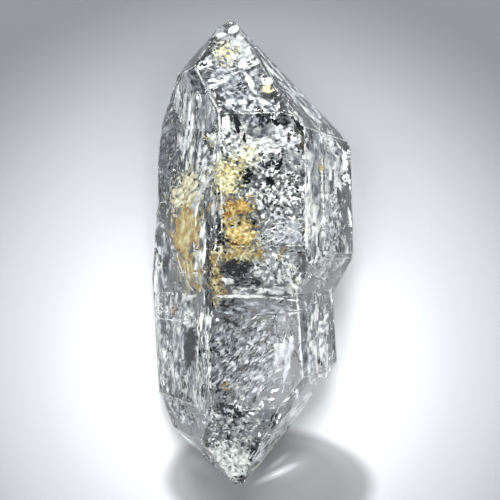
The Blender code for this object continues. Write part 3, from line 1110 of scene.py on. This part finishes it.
CLAY_SPECKS = {
    "left face pale": dict(
        at=(187, 192), half=(19, 24), cover=0.12, length=(0.3, 2.2), slim=0.2, lie=60, shade=(0.7, 1.0)
    ),
    "brown line": dict(
        at=(200, 184), half=(1.5, 9), cover=1.0, length=(0.3, 1.2), slim=0.2, lie=90, shade=(0.05, 0.3)
    ),
    "tan patch": dict(
        at=(185, 235), half=(15, 32), cover=0.12, length=(0.3, 1.8), slim=0.35, lie=80, shade=(0.3, 0.9)
    ),
    "golden streaks": dict(
        at=(190, 274), half=(16, 22), cover=0.12, length=(0.4, 2.2), slim=0.15, lie=105, shade=(0.3, 0.9)
    ),
    "yellow patch": dict(at=(210, 140), half=(6, 7), cover=0.4, shade=(0.65, 0.9)),
    "front bright yellow": dict(at=(239, 166), half=(6, 6), cover=0.5, shade=(0.7, 0.85)),
    "front yellow-green": dict(
        at=(227, 178), half=(11, 18), cover=0.15, length=(0.3, 1.4), spread=50, shade=(0.6, 0.95)
    ),
    "front orange": dict(
        at=(240, 207), half=(15, 8), cover=0.2, length=(0.3, 1.3), spread=40, shade=(0.1, 0.45)
    ),
    "front gold": dict(at=(240, 233), half=(16, 15), cover=0.1, length=(0.3, 1.4), spread=50, shade=(0.2, 0.75)),
    "front brown": dict(at=(235, 244), half=(6, 4), cover=0.5, length=(0.3, 0.9), shade=(0.0, 0.3)),
    "gold band": dict(at=(239, 255), half=(26, 8), cover=0.15, length=(0.3, 1.2), lie=5, shade=(0.3, 0.85)),
    "golden column": dict(at=(216, 280), half=(6, 10), cover=0.3, length=(0.3, 1.3), lie=80, shade=(0.1, 0.5)),
    "gold-brown streak": dict(
        at=(282, 253), half=(7, 1.5), turn=65, cover=1.0, length=(0.3, 0.9), slim=0.3, lie=65, depth=(0.2, 0.5),
        shade=(0.1, 0.5)
    ),
    "creamy corner": dict(at=(292, 280), half=(8, 15), cover=0.2, length=(0.2, 0.8), shade=(0.85, 1.0)),
    "yellow dash": dict(
        at=(321, 167.5), half=(2, 4.5), cover=1.0, length=(0.3, 0.8), slim=0.3, lie=90, depth=(0.2, 0.5),
        shade=(0.6, 0.8)
    ),
    "brown-red spot": dict(
        at=(174, 309), half=(4, 7), cover=0.8, length=(0.3, 0.9), depth=(0.2, 0.6), shade=(0.0, 0.2)
    ),
    "gold flecks": dict(
        at=(230, 387), half=(8, 6), cover=0.1, length=(0.3, 0.7), slim=0.7, depth=(0.2, 0.6), shade=(0.25, 0.5)
    ),
    "lone gold fleck": dict(
        at=(273, 395), half=(1, 1), cover=1.0, length=(0.4, 0.6), slim=0.7, depth=(0.2, 0.4), shade=(0.3, 0.5),
        patchy=-2.0
    ),
}


def gather(skin, seed, sheets, specks):
    family = Inclusions(skin, seed)
    for sheet in sheets.values():
        family.sheet(**sheet)
    for zone in specks.values():
        family.scatter(**zone)
    return family


def add_inclusions(skin, solid):
    near = {name: sheet for name, sheet in VEIL_SHEETS.items() if sheet["depth"] < DEEP}
    far = {name: sheet for name, sheet in VEIL_SHEETS.items() if sheet["depth"] >= DEEP}
    veils = gather(skin, 11, near, {})
    for line in EDGE_LINES.values():
        veils.line(*line)
    deep_veils = gather(skin, 16, far, {})
    deep_veils.fill_planes(
        36, (4.0, 2.0), relief=0.9, crumple=1.2, torn=0.3, tear=1.2, stretch=2.0, shade=(0.4, 1.0)
    )
    frost = gather(skin, 15, {}, VEIL_SPECKS)
    frost.edge_wear(solid)
    frost.fill(200, (0.2, 1.4), 0.4, (0.7, 1.0))
    silver = gather(skin, 12, {}, SILVER_SPECKS)
    silver.fill(120, (0.3, 2.5), 0.45, (0.1, 1.0))
    hydrocarbon = gather(skin, 13, HYDROCARBON_SHEETS, HYDROCARBON_SPECKS)
    hydrocarbon.fill(110, (0.15, 1.0), 0.5, (0.0, 0.7))
    clay = gather(skin, 14, CLAY_SHEETS, CLAY_SPECKS)
    veil_material = shaded_material("white_veil", VEIL_STOPS, 0.4, 0.2, grain=0.7, bump=0.4)
    frost_material = shaded_material("crushed_quartz", VEIL_STOPS, 0.3, 0.5, grain=0.4, bump=0.5)
    silver_material = shaded_material("silver_fracture", SILVER_STOPS, 0.1, metallic=1.0, grain=0.4)
    black_material = shaded_material("hydrocarbon", BLACK_STOPS, 0.3, 0.12, grain=0.4, bump=0.3)
    clay_material = shaded_material("iron_clay", CLAY_STOPS, 0.7, 0.2, grain=0.5, bump=0.5)
    add_piece("veils", veils.mesh("veils", veil_material))
    add_piece("deep_veils", deep_veils.mesh("deep_veils", veil_material))
    add_piece("crushed_quartz", frost.mesh("crushed_quartz", frost_material))
    add_piece("fractures", silver.mesh("fractures", silver_material))
    add_piece("hydrocarbon", hydrocarbon.mesh("hydrocarbon", black_material))
    add_piece("iron_clay", clay.mesh("iron_clay", clay_material))


def quartz_material():
    """Clear quartz with fine growth lines across the prism, hazy where its edges are worn."""
    material, nodes, links, shader = new_material("quartz")
    lines = noise_texture(nodes, links, 90.0, 3.0, (1.0, 22.0, 1.0))
    lump = nodes.new("ShaderNodeBump")
    lump.inputs["Strength"].default_value = 0.15
    lump.inputs["Distance"].default_value = 0.02 * MM
    links.new(lines.outputs["Fac"], lump.inputs["Height"])
    links.new(lump.outputs["Normal"], shader.inputs["Normal"])
    wear = nodes.new("ShaderNodeAttribute")
    wear.attribute_name = "wear"
    haze = noise_texture(nodes, links, 900.0, 4.0)
    worn = nodes.new("ShaderNodeMath")
    worn.operation = "MULTIPLY"
    rough = nodes.new("ShaderNodeMath")
    rough.operation = "MULTIPLY_ADD"
    rough.inputs[1].default_value = 0.5
    rough.inputs[2].default_value = 0.015
    links.new(wear.outputs["Fac"], worn.inputs[0])
    links.new(haze.outputs["Fac"], worn.inputs[1])
    links.new(worn.outputs["Value"], rough.inputs[0])
    links.new(rough.outputs["Value"], shader.inputs["Roughness"])
    shader.inputs["Base Color"].default_value = (0.99, 0.995, 1.0, 1.0)
    shader.inputs["Specular IOR Level"].default_value = 0.3
    shader.inputs["IOR"].default_value = QUARTZ_IOR
    shader.inputs["Transmission Weight"].default_value = 1.0
    absorb = nodes.new("ShaderNodeVolumeAbsorption")
    absorb.inputs["Color"].default_value = (0.86, 0.88, 0.9, 1.0)
    absorb.inputs["Density"].default_value = 12.0
    links.new(absorb.outputs["Volume"], nodes["Material Output"].inputs["Volume"])
    return material


def open_cracks(skin):
    """Wavy air gaps in the quartz, which throw back light that meets them at a slant."""
    cracks = Inclusions(skin, 21)
    cracks.fill_planes(55, (4.5, 2.0), relief=0.7, crumple=2.2, torn=-0.1, tear=2.2, stretch=2.0)
    return cracks


def add_crystal(skin):
    bm = crystal_bmesh()
    wear = bm.faces.layers.float.new("wear")
    flats = bmesh.ops.bevel(
        bm,
        geom=bm.edges[:],
        offset=EDGE_BEVEL,
        offset_type="OFFSET",
        segments=2,
        profile=0.5,
        affect="EDGES",
        clamp_overlap=True,
    )
    for face in flats["faces"]:
        face[wear] = 1.0
    cracks = open_cracks(skin)
    corners = [bm.verts.new(point) for point in cracks.points]
    for ring in cracks.faces:
        bm.faces.new([corners[number] for number in reversed(ring)]).smooth = True
    mesh = bpy.data.meshes.new("crystal")
    bm.to_mesh(mesh)
    bm.free()
    mesh.materials.append(quartz_material())
    crystal = add_piece("crystal", mesh)
    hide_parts(NODE)


def add_lights():
    add_soft_box("behind", (-15, 330, 380), (0, 0, 0), (180, 180), 48.0)
    add_soft_box("left", (-200, 20, 400), (0, 0, 0), (200, 200), 12.0)
    add_soft_box("right", (210, 0, 400), (0, 0, 0), (200, 200), 11.0)
    for number, (width, length) in enumerate(((20, 48), (34, 58), (50, 68), (68, 80))):
        place_x = 24 - 3 * number
        add_soft_box(f"above_{number}", (place_x, -57, 300 + number), (place_x, -57, 0), (width, length), 0.9)


def main():
    scene = bpy.context.scene
    scene.view_settings.view_transform = "Standard"
    scene.view_settings.exposure = 0.18
    scene.view_settings.gamma = 0.85
    scene.cycles.max_bounces = 24
    scene.cycles.transmission_bounces = 24
    scene.cycles.glossy_bounces = 8
    scene.cycles.sample_clamp_indirect = 60.0
    add_camera()
    set_world(1.0)
    add_lights()
    add_floor()
    solid = crystal_bmesh()
    skin = Skin(solid)
    add_crystal(skin)
    add_inclusions(skin, solid)
    solid.free()


main()
